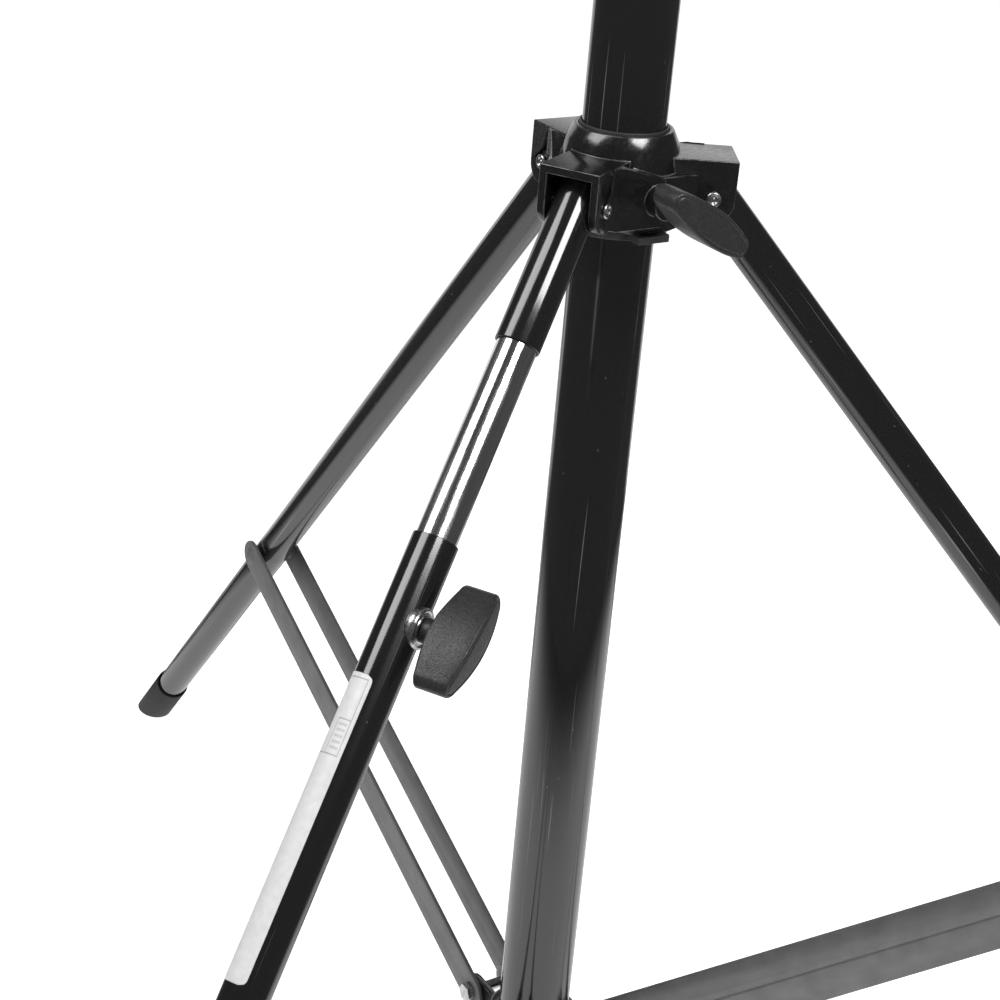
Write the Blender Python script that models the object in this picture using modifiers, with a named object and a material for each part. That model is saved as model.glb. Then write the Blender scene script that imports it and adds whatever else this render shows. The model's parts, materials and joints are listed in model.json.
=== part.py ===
"""Heavy steel tripod stand with a folding braced base, one levelling leg and three risers.

Metres, +Z up.  The origin is the centre of the column's bottom face.  Leg C points along +X,
leg A (the levelling leg) lies 120 degrees clockwise from it and leg B 120 degrees anticlockwise.
"""
import math

import bmesh
import bpy
from mathutils import Matrix, Vector

# ---------------------------------------------------------------- driving dimensions
GAP = 0.0003                    # running gap between neighbouring pieces
FLOOR_Z = -0.088                # the feet stand this far below the column's bottom face
AZIMUTHS = {"a": math.radians(-120), "b": math.radians(120), "c": 0.0}

COLUMN_R = 0.025                # column tube, 50 mm
COLUMN_WALL = 0.0015
COLUMN_BOTTOM = 0.0033
COLUMN_TOP = 1.202
FLANGE_T = 0.003                # rim of the plug under the column

LEG_R = 0.0135                  # leg tube, 27 mm
LEG_WALL = 0.0012
LEG_ANGLE = math.radians(41)    # from the vertical, legs open
HINGE_R = 0.055                 # leg hinge pins and brace bolts, from the column's axis
PIN_Z = 0.662                   # leg hinge pins, legs open
PIVOT_Z = 0.031                 # brace bolts on the lower collar
KNEE_S = 0.602                  # knee, measured down the leg from its hinge pin
LEG_TOP_S = -0.010              # top end of a leg tube, above the pin
LEG_END_S = 0.958               # bottom end of a leg tube
FOOT_TOP_S = 0.922
FOOT_R = 0.0155
FOOT_BLANK_S = 1.04             # boots are made this long, then cut level with the floor

INNER_R = 0.012                 # chromed inner tube of the levelling leg, 24 mm
UPPER_END_S = 0.092             # end of the levelling leg's upper tube
LOWER_TOP_S = 0.212             # top of its lower tube
INNER_S = (0.030, 0.640)        # the inner tube reaches past the knee, whose bolt it carries
LEVEL_TRAVEL = 0.118            # the lower tube slides up this far over the inner one
SLOT_HALF = 0.0045              # half width of the two slots that clear the knee's bolt
KNOB_S = 0.2613                 # clamp of the levelling leg
KNOB_LEAN = math.radians(15)    # its bar leans this far from the leg's direction
KNOB_OUT = 0.0249               # back of its bar, from the leg's axis
BOSS_END = 0.0148               # face of its welded boss, from the leg's axis

CHANNEL_W = 0.019               # half width of a leg channel, outside
CHANNEL_IN = 0.014              # half width inside
CHANNEL_FRONT = 0.068
CHANNEL_TOP = 0.023             # over the pins
ROOF_UNDER = 0.018
WEB_D = 0.038                   # flat web between two channels, from the axis
EAR_D = 0.041                   # doubled half of the web
EAR_T = 0.0045                  # where the doubled half ends, past the web's middle
WEB_TOP = 0.014
WEB_BOTTOM = -0.019             # at its middle
WEB_BOTTOM_SIDE = -0.015        # beside the channels
INSET = 0.0003                  # how far joined shapes start inside each other
PIN_R = 0.0032
PIN_HEAD_R = 0.0047
SPIDER_BORE = 0.027
BUSH_IN = COLUMN_R + GAP
TAB_HALF = 0.011                # lugs under the bush

BAR_W = 0.027                   # flat brace bars, 27 x 3 mm
BAR_T = 0.003
BAR_Y = 0.0175                  # middle of a bar, from the leg's plane
BOLT_R = 0.004
EAR_OUT = 0.0155                # lower collar's ears, half width over both
EAR_WALL = 0.005

SCREW_R = 0.005
KNOB_AZ = math.radians(-60)     # clamp screws of the spider and the lock collars
SPIDER_KNOB_Z = PIN_Z + 0.002
SPIDER_KNOB_D = 0.073           # back of the spider knob's bar, from the axis
SPIDER_KNOB_ROLL = math.radians(56)
LOCK_KNOB_ROLL = math.radians(90)

RISERS = (0.0225, 0.020, 0.0175)        # outer radii of the three risers
RISER_WALL = 0.0013
RISER_BOTTOM = 0.060            # lower end of the first riser; each next one stands 10 mm higher
LOCK_HALF = 0.040               # half height of a lock collar
LOCK_WALL = 0.0055
STUD_R = 0.008                  # 16 mm stud
STUD_H = 0.045
HEAD_H = 0.055

SEGMENTS = 32                   # sides of a round piece
FINE = 40                       # sides of the column and the spider's dome
COARSE = 24                     # sides of leg tubes and bushes
SMALL = 16                      # sides of pins, screws and holes


# ---------------------------------------------------------------- scene and materials
def clear_scene():
    for obj in list(bpy.data.objects):
        bpy.data.objects.remove(obj, do_unlink=True)


def collection(name):
    made = bpy.data.collections.new(name)
    bpy.context.scene.collection.children.link(made)
    return made


clear_scene()
STAND = collection("tripod_stand")
CUTTERS = collection("cutters")

FINISHES = {
    "black_steel": ((0.012, 0.012, 0.013), 0.16, 0.6),
    "satin_casting": ((0.022, 0.022, 0.023), 0.42, 0.3),
    "grey_bar": ((0.07, 0.07, 0.072), 0.5, 0.4),
    "chrome": ((0.75, 0.75, 0.76), 0.16, 1.0),
    "plated_steel": ((0.55, 0.55, 0.56), 0.3, 1.0),
    "black_plastic": ((0.02, 0.02, 0.021), 0.5, 0.0),
    "grey_nylon": ((0.06, 0.06, 0.062), 0.55, 0.0),
    "rubber": ((0.015, 0.015, 0.015), 0.8, 0.0),
}


def material(obj_name, finish):
    colour, roughness, metallic = FINISHES[finish]
    mat = bpy.data.materials.new(obj_name + "_" + finish)
    mat.use_nodes = True
    shader = mat.node_tree.nodes["Principled BSDF"]
    shader.inputs["Base Color"].default_value = (*colour, 1.0)
    shader.inputs["Roughness"].default_value = roughness
    shader.inputs["Metallic"].default_value = metallic
    return mat


# ---------------------------------------------------------------- placing
def frame_matrix(origin, z_axis, x_axis):
    """A frame from its origin, its Z direction and the direction X lies nearest to."""
    z = Vector(z_axis).normalized()
    y = z.cross(Vector(x_axis)).normalized()
    x = y.cross(z)
    turn = Matrix((x, y, z)).transposed().to_4x4()
    return Matrix.Translation(Vector(origin)) @ turn


def empty(name, matrix):
    obj = bpy.data.objects.new(name, None)
    obj.empty_display_size = 0.03
    STAND.objects.link(obj)
    obj.matrix_world = matrix
    return obj


def radial(azimuth):
    return Vector((math.cos(azimuth), math.sin(azimuth), 0.0))


def tangent(azimuth):
    return Vector((-math.sin(azimuth), math.cos(azimuth), 0.0))


UP = Vector((0.0, 0.0, 1.0))


def spoke(azimuth, z=0.0):
    """The column's own frame turned so that X points at a leg."""
    return Matrix.Translation((0.0, 0.0, z)) @ Matrix.Rotation(azimuth, 4, "Z")


def leg_frame(azimuth):
    """Origin on the hinge pin, Z up along the leg, Y along the pin."""
    down = radial(azimuth) * math.sin(LEG_ANGLE) - UP * math.cos(LEG_ANGLE)
    origin = radial(azimuth) * HINGE_R + UP * PIN_Z
    return frame_matrix(origin, -down, radial(azimuth))


def brace_geometry():
    """Length of a brace and its angle from the vertical, legs open."""
    out = KNEE_S * math.sin(LEG_ANGLE)
    rise = PIN_Z - KNEE_S * math.cos(LEG_ANGLE) - PIVOT_Z
    return math.hypot(out, rise), math.atan2(out, rise)


BRACE_LENGTH, BRACE_ANGLE = brace_geometry()


def brace_frame(azimuth):
    """Origin on the lower bolt, Z along the brace towards the knee, Y along the bolt."""
    along = radial(azimuth) * math.sin(BRACE_ANGLE) + UP * math.cos(BRACE_ANGLE)
    origin = radial(azimuth) * HINGE_R + UP * PIVOT_Z
    return frame_matrix(origin, along, radial(azimuth))


# ---------------------------------------------------------------- building blocks
def place(obj, group, parent=None, local=None):
    group.objects.link(obj)
    obj.parent = parent
    if local is not None:
        obj.matrix_local = local
    if group is CUTTERS:
        obj.hide_render = True
        obj.display_type = "WIRE"
    return obj


def smooth(mesh):
    mesh.shade_smooth()
    mesh.set_sharp_from_angle(angle=math.radians(35))


def turned(name, profile, parent=None, local=None, group=None, ring=False, steps=SEGMENTS):
    """A profile of (radius, height) points, top to bottom on its outer side, turned about Z."""
    mesh = bpy.data.meshes.new(name)
    count = len(profile)
    edges = [(i, i + 1) for i in range(count - 1)]
    if ring:
        edges.append((count - 1, 0))
    mesh.from_pydata([(r, 0.0, z) for r, z in profile], edges, [])
    obj = place(bpy.data.objects.new(name, mesh), group or STAND, parent, local)
    screw = obj.modifiers.new("turn", "SCREW")
    screw.steps = screw.render_steps = steps
    screw.use_merge_vertices = True
    screw.merge_threshold = 0.00001
    screw.use_smooth_shade = False
    return obj


def rod(name, radius, bottom, top, **options):
    return turned(name, [(0.0, top), (radius, top), (radius, bottom), (0.0, bottom)], **options)


def chamfered_rod(name, radius, bottom, top, edge, **options):
    profile = [(0.0, top), (radius - edge, top), (radius, top - edge),
               (radius, bottom + edge), (radius - edge, bottom), (0.0, bottom)]
    return turned(name, profile, **options)


def sleeve(name, outer, inner, bottom, top, **options):
    profile = [(outer, top), (outer, bottom), (inner, bottom), (inner, top)]
    return turned(name, profile, ring=True, **options)


def prism(name, outline, low, high, parent=None, local=None, group=None):
    """A flat outline in XY, extruded from low to high along Z."""
    curve = bpy.data.curves.new(name, "CURVE")
    curve.dimensions = "2D"
    curve.fill_mode = "BOTH"
    curve.extrude = (high - low) / 2
    spline = curve.splines.new("POLY")
    spline.points.add(len(outline) - 1)
    for point, (x, y) in zip(spline.points, outline):
        point.co = (x, y, 0.0, 1.0)
    spline.use_cyclic_u = True
    source = bpy.data.objects.new(name + "_outline", curve)
    bpy.context.scene.collection.objects.link(source)
    depsgraph = bpy.context.evaluated_depsgraph_get()
    mesh = bpy.data.meshes.new_from_object(source.evaluated_get(depsgraph))
    bpy.data.objects.remove(source, do_unlink=True)
    mesh.name = name
    work = bmesh.new()
    work.from_mesh(mesh)
    bmesh.ops.remove_doubles(work, verts=work.verts, dist=0.00001)
    bmesh.ops.translate(work, verts=work.verts, vec=(0.0, 0.0, (low + high) / 2))
    work.to_mesh(mesh)
    work.free()
    return place(bpy.data.objects.new(name, mesh), group or STAND, parent, local)


def box(name, low, high, **options):
    outline = [(low[0], low[1]), (high[0], low[1]), (high[0], high[1]), (low[0], high[1])]
    return prism(name, outline, low[2], high[2], **options)


def boolean(obj, other, operation):
    mod = obj.modifiers.new(operation.lower(), "BOOLEAN")
    mod.object = other
    mod.operation = operation
    mod.solver = "EXACT"


def cut(obj, *others):
    for other in others:
        boolean(obj, other, "DIFFERENCE")


def join(obj, *others):
    for other in others:
        boolean(obj, other, "UNION")


def bevel(obj, width, segments=2, angle=40):
    mod = obj.modifiers.new("edges", "BEVEL")
    mod.width = width
    mod.segments = segments
    mod.limit_method = "ANGLE"
    mod.angle_limit = math.radians(angle)
    mod.use_clamp_overlap = True


def coat(obj, finish):
    """Give a finished piece its own material and smooth shading."""
    smooth(obj.data)
    obj.data.materials.append(material(obj.name, finish))
    return obj


def arc(centre, radius, start, end, count):
    """Points on an arc, angles in degrees, both ends included."""
    points = []
    for i in range(count + 1):
        angle = math.radians(start + (end - start) * i / count)
        points.append((centre[0] + radius * math.cos(angle), centre[1] + radius * math.sin(angle)))
    return points


ALONG_Y = Matrix.Rotation(math.radians(-90), 4, "X")        # turns Z into Y
SIDEWAYS = Matrix.Rotation(math.radians(90), 4, "X")        # an outline's (x, y) becomes (x, z)


# ---------------------------------------------------------------- T-knobs
WING_HALF = 0.033
WING_END_R = 0.0065
WING_MID = 0.010                # half thickness at the middle
HUB_R = 0.0072
HUB_BACK = -0.012
WING_DEPTH = 0.020              # depth of the bar at its ends
CROWN = 0.004                   # the bar's face stands this much prouder in the middle


def wing_plan():
    """Lens with round ends: the bar seen along the screw, X along the bar."""
    centre = WING_HALF - WING_END_R
    rise = WING_MID - WING_END_R
    flank = [(centre * f, WING_END_R + rise * (1 - f * f)) for f in (0.66, 0.33, 0.0, -0.33, -0.66)]
    half = arc((centre, 0.0), WING_END_R, -90, 90, 6) + flank
    return half + [(-x, -y) for x, y in half]


def wing_side():
    """The bar seen from its side: X along the bar, Y away from the screw."""
    crown = [(WING_HALF * f, WING_DEPTH + CROWN * (1 - f * f)) for f in (1, 0.6, 0.2, -0.2, -0.6, -1)]
    back = [(-WING_HALF - 0.002, WING_DEPTH - 0.002), (-WING_HALF - 0.002, 0.0),
            (-HUB_R, -0.004), (HUB_R, -0.004), (WING_HALF + 0.002, 0.0),
            (WING_HALF + 0.002, WING_DEPTH - 0.002)]
    return crown + back


def t_knob(name, matrix, screw_tip, hub_back=HUB_BACK):
    """A T-knob whose Z points away from the clamp; z = 0 is the back of its bar's ends."""
    parent = empty(name + "_axis", matrix)
    knob = prism(name, wing_plan(), -0.010, 0.030, parent=parent)
    side = prism(name + "_side", wing_side(), -0.012, 0.012, parent=parent, local=SIDEWAYS, group=CUTTERS)
    boolean(knob, side, "INTERSECT")
    bevel(knob, 0.0012, segments=1)
    hub = rod(name + "_hub", HUB_R, hub_back, 0.003, parent=parent, group=CUTTERS, steps=SMALL)
    join(knob, hub)
    bore = rod(name + "_bore", SCREW_R + GAP, hub_back - 0.002, 0.009, parent=parent, group=CUTTERS, steps=SMALL)
    cut(knob, bore)
    coat(knob, "black_plastic")
    screw = chamfered_rod(name + "_screw", SCREW_R, screw_tip, 0.0085, 0.0006, parent=parent, steps=SMALL)
    coat(screw, "plated_steel")


def brake_pad(name, matrix, near, far):
    coat(rod(name, SCREW_R, near, far, local=matrix, steps=SMALL), "grey_nylon")


def knob_frame(azimuth, z, distance, roll):
    """Z out along a spoke of the column; the bar is turned by roll from pointing down."""
    bar = tangent(azimuth) * math.sin(roll) - UP * math.cos(roll)
    return frame_matrix(radial(azimuth) * distance + UP * z, radial(azimuth), bar)


# ---------------------------------------------------------------- column and lower collar
def column():
    tube = sleeve("column_tube", COLUMN_R, COLUMN_R - COLUMN_WALL, COLUMN_BOTTOM, COLUMN_TOP, steps=FINE)
    coat(tube, "black_steel")
    inner = COLUMN_R - COLUMN_WALL - GAP
    profile = [(0.0, 0.020), (inner - 0.001, 0.020), (inner, 0.019), (inner, FLANGE_T),
               (COLUMN_R, FLANGE_T), (COLUMN_R, 0.001), (COLUMN_R - 0.001, 0.0), (0.0, 0.0)]
    coat(turned("column_plug", profile, steps=FINE), "rubber")


def ear_outline(reach, radius):
    """A lug seen from its side: from the collar out to a round end about the bolt."""
    return [(0.029, -radius)] + arc((reach, 0.0), radius, -90, 90, 8) + [(0.029, radius)]


def lower_collar():
    half = 0.018
    ring = turned("lower_collar",
                  [(0.031, half), (0.033, half - 0.002), (0.033, 0.002 - half), (0.031, -half),
                   (COLUMN_R + GAP, -half), (COLUMN_R + GAP, half)],
                  ring=True, local=Matrix.Translation((0, 0, PIVOT_Z)), steps=FINE)
    for key, azimuth in AZIMUTHS.items():
        here = spoke(azimuth, PIVOT_Z)
        for side, low in (("left", EAR_OUT - EAR_WALL), ("right", -EAR_OUT)):
            ear = prism("collar_ear_" + key + side, ear_outline(HINGE_R, 0.012), low, low + EAR_WALL,
                        local=here @ SIDEWAYS, group=CUTTERS)
            join(ring, ear)
    for key, azimuth in AZIMUTHS.items():
        here = spoke(azimuth, PIVOT_Z) @ Matrix.Translation((HINGE_R, 0, 0)) @ ALONG_Y
        hole = rod("collar_hole_" + key, BOLT_R + GAP, -0.03, 0.03, local=here, group=CUTTERS, steps=SMALL)
        cut(ring, hole)
        bolt(key, here)
    coat(ring, "satin_casting")


def bolt(key, matrix):
    """Brace bolt: hexagon head on one side of the bars, round nut on the other."""
    face = BAR_Y + BAR_T / 2 + GAP
    shank = rod("lower_bolt_" + key, BOLT_R, -face - 0.002, face + 0.002, local=matrix, steps=SMALL)
    head = rod("bolt_head_" + key, 0.0075, face, face + 0.005, local=matrix, group=CUTTERS, steps=6)
    nut = rod("bolt_nut_" + key, 0.0075, -face - 0.006, -face, local=matrix, group=CUTTERS, steps=6)
    join(shank, head, nut)
    coat(shank, "plated_steel")


# ---------------------------------------------------------------- spider (upper collar)
def turn_point(point, azimuth):
    x, y = point
    return (x * math.cos(azimuth) - y * math.sin(azimuth), x * math.sin(azimuth) + y * math.cos(azimuth))


def web_corner(distance, side):
    """Where a web at this distance meets a line along a channel, in the channel's own axes."""
    sixty = math.radians(60)
    return ((distance - side * math.sin(sixty)) / math.cos(sixty), side)


def fillet(corner, angle_in, angle_out, size, count=4):
    """Round a corner: a short quadratic from one side to the other."""
    start = (corner[0] + size * math.cos(angle_in), corner[1] + size * math.sin(angle_in))
    end = (corner[0] + size * math.cos(angle_out), corner[1] + size * math.sin(angle_out))
    points = []
    for i in range(count + 1):
        f = i / count
        points.append(tuple((1 - f) ** 2 * a + 2 * f * (1 - f) * c + f * f * b
                            for a, c, b in zip(start, corner, end)))
    return points


def ear_plan():
    """Half web nearest a channel's left side, doubled in thickness, in the channel's axes."""
    side = CHANNEL_W - 2 * INSET
    corner = web_corner(EAR_D, side)
    along = math.radians(150)
    end = turn_point((EAR_D, EAR_T), math.radians(60))
    inner = turn_point((WEB_D - 0.008, EAR_T), math.radians(60))
    return [(0.040, side - 0.002), (0.058, side - 0.002), (0.058, side)] + \
        fillet(corner, 0.0, along, 0.006) + [end, inner]


def star_plan():
    """Outline of the casting's body: three channels joined by three flat webs."""
    points = []
    for azimuth in (0.0, math.radians(120), math.radians(240)):
        left = web_corner(WEB_D, CHANNEL_W - INSET)
        right = (left[0], -left[1])
        arm = fillet(right, math.radians(-150), 0.0, 0.004) + fillet(left, 0.0, math.radians(150), 0.004)
        points += [turn_point(p, azimuth) for p in arm]
    return points


def wall_side():
    """A channel's side wall seen from its side: X outward, Y up, zero on the pin's height."""
    lobe = arc((CHANNEL_FRONT - 0.012, -0.002), 0.012, 0, -90, 6)
    return [(0.005, CHANNEL_TOP), (CHANNEL_FRONT, CHANNEL_TOP)] + lobe + \
        [(0.050, -0.014), (0.046, -0.0125), (0.042, -0.0122), (0.005, -0.0122)]


def spider():
    height = Matrix.Translation((0, 0, PIN_Z))
    body = prism("spider", star_plan(), WEB_BOTTOM, WEB_TOP, local=height)
    for key, azimuth in AZIMUTHS.items():
        here = spoke(azimuth, PIN_Z)
        channel = prism("channel_" + key, wall_side(), -CHANNEL_W, CHANNEL_W,
                        local=here @ SIDEWAYS, group=CUTTERS)
        ear = prism("web_ear_" + key, ear_plan(), WEB_BOTTOM_SIDE, CHANNEL_TOP - INSET,
                    local=here, group=CUTTERS)
        slope = math.atan2(CHANNEL_TOP - WEB_TOP, 0.030)
        ramp = spoke(azimuth + math.radians(60), PIN_Z) @ Matrix.Translation((0, EAR_T, WEB_TOP)) @ \
            Matrix.Rotation(-slope, 4, "X")
        top = box("ear_slope_" + key, (0.0, -0.06, 0.0), (0.08, 0.04, 0.04), local=ramp, group=CUTTERS)
        cut(ear, top)
        join(body, channel, ear)
        trim_web(body, key, azimuth + math.radians(60))
    dome = turned("spider_dome", [(0.0, 0.036), (0.0295, 0.036), (0.0335, 0.028), (0.0362, 0.0135),
                                  (0.0362, -0.0105), (0.0, -0.0105)], local=height, group=CUTTERS, steps=FINE)
    boss = rod("spider_boss", 0.0095, 0.030, 0.052, steps=COARSE, group=CUTTERS,
               local=knob_frame(KNOB_AZ, SPIDER_KNOB_Z, 0.0, 0.0))
    join(body, dome, boss)
    for key, azimuth in AZIMUTHS.items():
        here = spoke(azimuth, PIN_Z)
        room = box("channel_room_" + key, (0.0372, -CHANNEL_IN, -0.04), (0.09, CHANNEL_IN, ROOF_UNDER),
                   local=here, group=CUTTERS)
        pin_place = here @ Matrix.Translation((HINGE_R, 0, 0)) @ ALONG_Y
        hole = rod("pin_hole_" + key, PIN_R + GAP, -0.03, 0.03, local=pin_place, group=CUTTERS, steps=SMALL)
        cut(body, room, hole)
        hinge_pin(key, pin_place)
    bore = rod("spider_bore", SPIDER_BORE, -0.05, 0.06, local=height, group=CUTTERS, steps=FINE)
    screw_hole = rod("spider_screw_hole", SCREW_R + GAP, 0.0, 0.07, steps=SMALL, group=CUTTERS,
                     local=knob_frame(KNOB_AZ, SPIDER_KNOB_Z, 0.0, 0.0))
    cut(body, bore, screw_hole)
    coat(body, "satin_casting")
    spider_bush(screw_hole)


def trim_web(body, key, azimuth):
    """The web's lower edge rises towards both channels."""
    half = 0.012
    slope = math.atan2(WEB_BOTTOM_SIDE - WEB_BOTTOM, 0.028 - half)
    for name, side in (("left", 1), ("right", -1)):
        ramp = spoke(azimuth, PIN_Z) @ Matrix.Translation((0, side * half, WEB_BOTTOM)) @ \
            Matrix.Rotation(side * slope, 4, "X")
        low, high = sorted((-side * 0.004, side * 0.022))
        below = box("web_trim_%s_%s" % (key, name), (0.020, low, -0.012), (0.060, high, 0.0),
                    local=ramp, group=CUTTERS)
        cut(body, below)


def spider_bush(screw_hole):
    """Plastic sleeve between the spider and the column, with three lugs under the webs."""
    bottom = WEB_BOTTOM - GAP
    outer = SPIDER_BORE - GAP
    bush = turned("spider_bush",
                  [(outer, 0.0375), (outer, bottom), (0.0325, bottom), (0.0325, bottom - 0.0055),
                   (BUSH_IN, bottom - 0.0055), (BUSH_IN, 0.0375)],
                  ring=True, local=Matrix.Translation((0, 0, PIN_Z)), steps=FINE)
    for key, azimuth in AZIMUTHS.items():
        here = spoke(azimuth + math.radians(60), PIN_Z)
        tab = prism("bush_tab_" + key, [(0.030, -TAB_HALF), (0.0415, -TAB_HALF), (0.0415, TAB_HALF),
                                        (0.030, TAB_HALF)], bottom - 0.005, bottom - INSET,
                    local=here, group=CUTTERS)
        join(bush, tab)
    cut(bush, screw_hole)
    coat(bush, "grey_nylon")


def hinge_pin(key, matrix):
    """Riveted hinge pin: two low heads with a dimple."""
    face = CHANNEL_W + GAP
    half = [(0.0, face + 0.0007), (0.0016, face + 0.0007), (0.0024, face + 0.0016),
            (PIN_HEAD_R - 0.0008, face + 0.0016), (PIN_HEAD_R, face + 0.0008), (PIN_HEAD_R, face),
            (PIN_R, face)]
    profile = half + [(r, -z) for r, z in reversed(half)]
    coat(turned("hinge_pin_" + key, profile, local=matrix, steps=SMALL), "plated_steel")


# ---------------------------------------------------------------- legs
CRIMP_HALF = 0.0112             # half thickness of a leg where the braces lie against it
CRIMP = ((0.010, 1.0), (0.018, 0.5), (0.040, 0.15), (0.065, 0.0))
# distance from the knee, and how far the tube's sides are pressed in there: 1 is flat


def leg_tube_mesh(name, top, bottom):
    """A tube down -Z with its sides pressed flat at the knee."""
    stations = [(top, 0.0)] + [(KNEE_S - reach, amount) for reach, amount in reversed(CRIMP)]
    stations += [(KNEE_S + reach, amount) for reach, amount in CRIMP] + [(bottom, 0.0)]
    work = bmesh.new()
    rings = {}
    for shell, radius in (("outer", LEG_R), ("inner", LEG_R - LEG_WALL)):
        for index, (s, amount) in enumerate(stations):
            limit = radius - amount * (LEG_R - CRIMP_HALF)
            ring = []
            for i in range(COARSE):
                angle = 2 * math.pi * i / COARSE
                x = radius * math.cos(angle) * (1 + 0.06 * amount)
                y = max(-limit, min(limit, radius * math.sin(angle)))
                ring.append(work.verts.new((x, y, -s)))
            rings[shell, index] = ring
    last = len(stations) - 1
    for i in range(COARSE):
        j = (i + 1) % COARSE
        for index in range(last):
            upper, lower = rings["outer", index], rings["outer", index + 1]
            work.faces.new((upper[i], lower[i], lower[j], upper[j]))
            upper, lower = rings["inner", index], rings["inner", index + 1]
            work.faces.new((upper[j], lower[j], lower[i], upper[i]))
        for index, flip in ((0, False), (last, True)):
            outer, inner = rings["outer", index], rings["inner", index]
            face = (outer[i], outer[j], inner[j], inner[i])
            work.faces.new(tuple(reversed(face)) if flip else face)
    mesh = bpy.data.meshes.new(name)
    work.to_mesh(mesh)
    work.free()
    return mesh


def leg_tube(name, top, bottom, parent):
    mesh = leg_tube_mesh(name, top, bottom)
    return place(bpy.data.objects.new(name, mesh), STAND, parent)


def pin_hole(name, parent):
    return rod(name, PIN_R + GAP, -0.02, 0.02, parent=parent, local=ALONG_Y, group=CUTTERS, steps=SMALL)


def foot(key, parent):
    """Rubber boot over the end of the leg, cut flat where it meets the floor."""
    seat, blank_end = -LEG_END_S - GAP, -FOOT_BLANK_S
    boot = turned("leg_%s_foot" % key,
                  [(0.0, seat), (LEG_R + GAP, seat), (LEG_R + GAP, -FOOT_TOP_S), (FOOT_R, -FOOT_TOP_S),
                   (FOOT_R, blank_end), (0.0, blank_end)], parent=parent, steps=COARSE)
    azimuth = AZIMUTHS[key]
    below = box("floor_" + key, (-0.2, -0.2, -0.4), (0.2, 0.2, 0.0), group=CUTTERS,
                local=Matrix.Translation(radial(azimuth) * 0.7 + UP * FLOOR_Z))
    cut(boot, below)
    coat(boot, "rubber")


def plain_leg(key):
    parent = empty("leg_%s_hinge" % key, leg_frame(AZIMUTHS[key]))
    tube = leg_tube("leg_%s_tube" % key, LEG_TOP_S, LEG_END_S, parent)
    cut(tube, pin_hole("leg_hole_" + key, parent))
    coat(tube, "black_steel")
    foot(key, parent)


def levelling_leg():
    parent = empty("leg_a_hinge", leg_frame(AZIMUTHS["a"]))
    inside = LEG_R - LEG_WALL
    upper = sleeve("leg_a_upper_tube", LEG_R, inside, -UPPER_END_S, -LEG_TOP_S, parent=parent, steps=COARSE)
    cut(upper, pin_hole("leg_hole_a", parent))
    coat(upper, "black_steel")
    inner = sleeve("leg_a_inner_tube", INNER_R, INNER_R - 0.0015, -INNER_S[1], -INNER_S[0], parent=parent,
                   steps=COARSE)
    coat(inner, "chrome")
    lower = sleeve("leg_a_lower_tube", LEG_R, inside, -LEG_END_S, -LOWER_TOP_S, parent=parent, steps=COARSE)
    clamp = leg_frame(AZIMUTHS["a"]) @ Matrix.Translation((0, 0, -KNOB_S)) @ ALONG_Y
    screw_hole = rod("leg_a_screw_hole", SCREW_R + GAP, 0.0, 0.04, local=clamp, group=CUTTERS, steps=SMALL)
    first, last = KNEE_S - SLOT_HALF - GAP, KNEE_S + LEVEL_TRAVEL + SLOT_HALF + GAP
    ends = arc((0.0, SLOT_HALF - last), SLOT_HALF, 180, 360, 8) + \
        arc((0.0, -first - SLOT_HALF), SLOT_HALF, 0, 180, 8)
    slots = prism("leg_a_slots", ends, -0.02, 0.02, parent=parent, local=SIDEWAYS, group=CUTTERS)
    cut(lower, screw_hole, slots)
    coat(lower, "black_steel")
    boss = turned("leg_a_boss", [(0.0, BOSS_END), (0.0095, BOSS_END), (0.0125, BOSS_END - 0.002),
                                 (0.0125, 0.0), (0.0, 0.0)], local=clamp, steps=COARSE)
    around = rod("boss_seat", LEG_R + GAP, -0.05, 0.05, group=CUTTERS, steps=64,
                 local=clamp @ Matrix.Rotation(math.radians(90), 4, "X"))
    cut(boss, around, screw_hole)
    coat(boss, "plated_steel")
    brake_pad("leg_a_brake_pad", clamp, INNER_R + GAP, INNER_R + 0.002)
    foot("a", parent)
    out = tangent(AZIMUTHS["a"])
    leg = leg_frame(AZIMUTHS["a"])
    down = -leg.col[2].to_3d()
    across = leg.col[0].to_3d()
    bar = down * math.cos(KNOB_LEAN) + across * math.sin(KNOB_LEAN)
    start = leg @ Vector((0, KNOB_OUT, -KNOB_S))
    t_knob("leg_a_knob", frame_matrix(start, out, bar), INNER_R + 0.002 + GAP - KNOB_OUT,
           hub_back=BOSS_END + GAP - KNOB_OUT)


# ---------------------------------------------------------------- braces
def bar_plan():
    """A brace bar: round ends about the lower bolt and the knee."""
    half = BAR_W / 2
    return arc((0.0, 0.0), half, 180, 360, 10) + arc((0.0, BRACE_LENGTH), half, 0, 180, 10)


def brace(key):
    parent = empty("brace_%s_pivot" % key, brace_frame(AZIMUTHS[key]))
    for name, side in (("left", 1), ("right", -1)):
        low = side * BAR_Y - BAR_T / 2
        bar = prism("brace_%s_%s_bar" % (key, name), bar_plan(), -low - BAR_T, -low,
                    parent=parent, local=SIDEWAYS)
        outward = Matrix.Translation((0, 0, BRACE_LENGTH)) @ Matrix.Rotation(math.radians(-90 * side), 4, "X")
        inner_face = LEG_R + GAP
        rivet = turned("rivet_%s_%s" % (key, name),
                       [(0.0, 0.0222), (0.004, 0.0218), (0.0068, 0.0203), (0.0075, 0.0188),
                        (0.0075, inner_face), (0.0, inner_face)],
                       parent=parent, local=outward, group=CUTTERS, steps=SMALL)
        hole = rod("bar_hole_%s_%s" % (key, name), BOLT_R + GAP, -0.03, 0.03, parent=parent,
                   local=ALONG_Y, group=CUTTERS, steps=SMALL)
        join(bar, rivet)
        cut(bar, hole)
        coat(bar, "grey_bar")


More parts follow.
